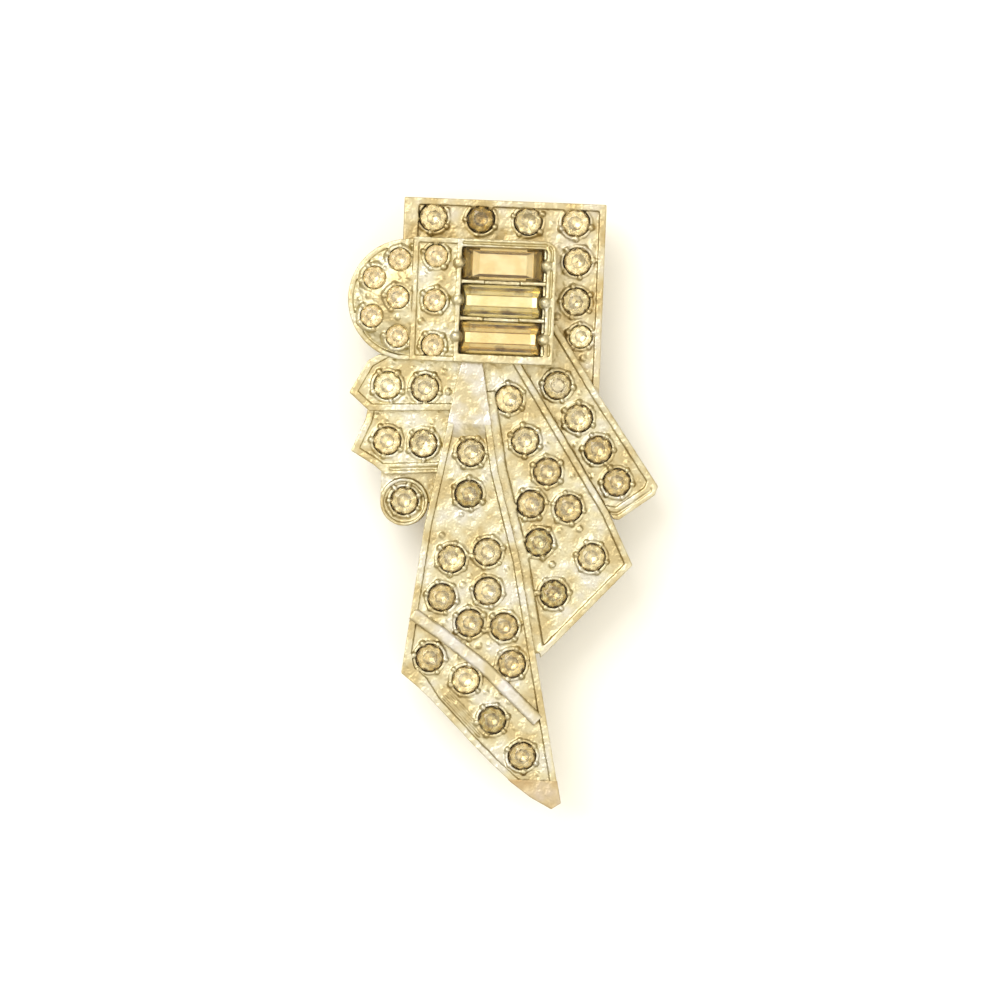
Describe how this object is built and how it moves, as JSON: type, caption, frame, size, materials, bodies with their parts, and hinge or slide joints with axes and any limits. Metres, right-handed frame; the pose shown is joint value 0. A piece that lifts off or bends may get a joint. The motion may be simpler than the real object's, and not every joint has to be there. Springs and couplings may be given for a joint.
{
  "type": "dress clip",
  "caption": "Asymmetric ribbon-and-scroll dress clip in pale gilt cast metal, set with round foiled stones and amber baguettes, with a hidden clip behind",
  "frame": {"origin": "middle of the outline, on the surface that the clip lies on", "axes": "+Z the front, away from the cloth; +Y the upper end as worn; +X the wearer's left"},
  "size_m": [0.0284, 0.0542, 0.0088],
  "materials": {
    "casting": "polished pale gilt plating over cast white metal",
    "clip_metal": "plain plated sheet metal",
    "pale_stone": "faceted glass, foil-backed",
    "amber_stone": "step-cut glass, foil-backed"
  },
  "bodies": {
    "root": {"setting": "casting", "back_clip": "clip_metal", "scroll_stones": "pale_stone", "baguette_1": "amber_stone", "baguette_2": "amber_stone", "baguette_3": "amber_stone", "bar_stone_1": "pale_stone", "bar_stone_2": "pale_stone", "bar_stone_3": "pale_stone", "bar_stone_4": "pale_stone", "bar_stone_5": "pale_stone", "bar_stone_6": "pale_stone", "bar_small_stone_1": "pale_stone", "high_tab_stone_1": "pale_stone", "high_tab_stone_2": "pale_stone", "low_tab_stone_1": "pale_stone", "low_tab_stone_2": "pale_stone", "end_stone_1": "pale_stone", "side_stone_1": "pale_stone", "side_stone_2": "pale_stone", "side_stone_3": "pale_stone", "side_stone_4": "pale_stone", "middle_stone_1": "pale_stone", "middle_stone_2": "pale_stone", "middle_stone_3": "pale_stone", "middle_stone_4": "pale_stone", "middle_stone_5": "pale_stone", "middle_stone_6": "pale_stone", "middle_stone_7": "pale_stone", "middle_stone_8": "pale_stone", "long_stone_1": "pale_stone", "long_stone_2": "pale_stone", "long_stone_3": "pale_stone", "long_stone_4": "pale_stone", "long_stone_5": "pale_stone", "long_stone_6": "pale_stone", "long_stone_7": "pale_stone", "long_stone_8": "pale_stone", "long_stone_9": "pale_stone", "long_stone_10": "pale_stone", "long_stone_11": "pale_stone", "long_stone_12": "pale_stone", "long_stone_13": "pale_stone"}
  },
  "joints": []
}
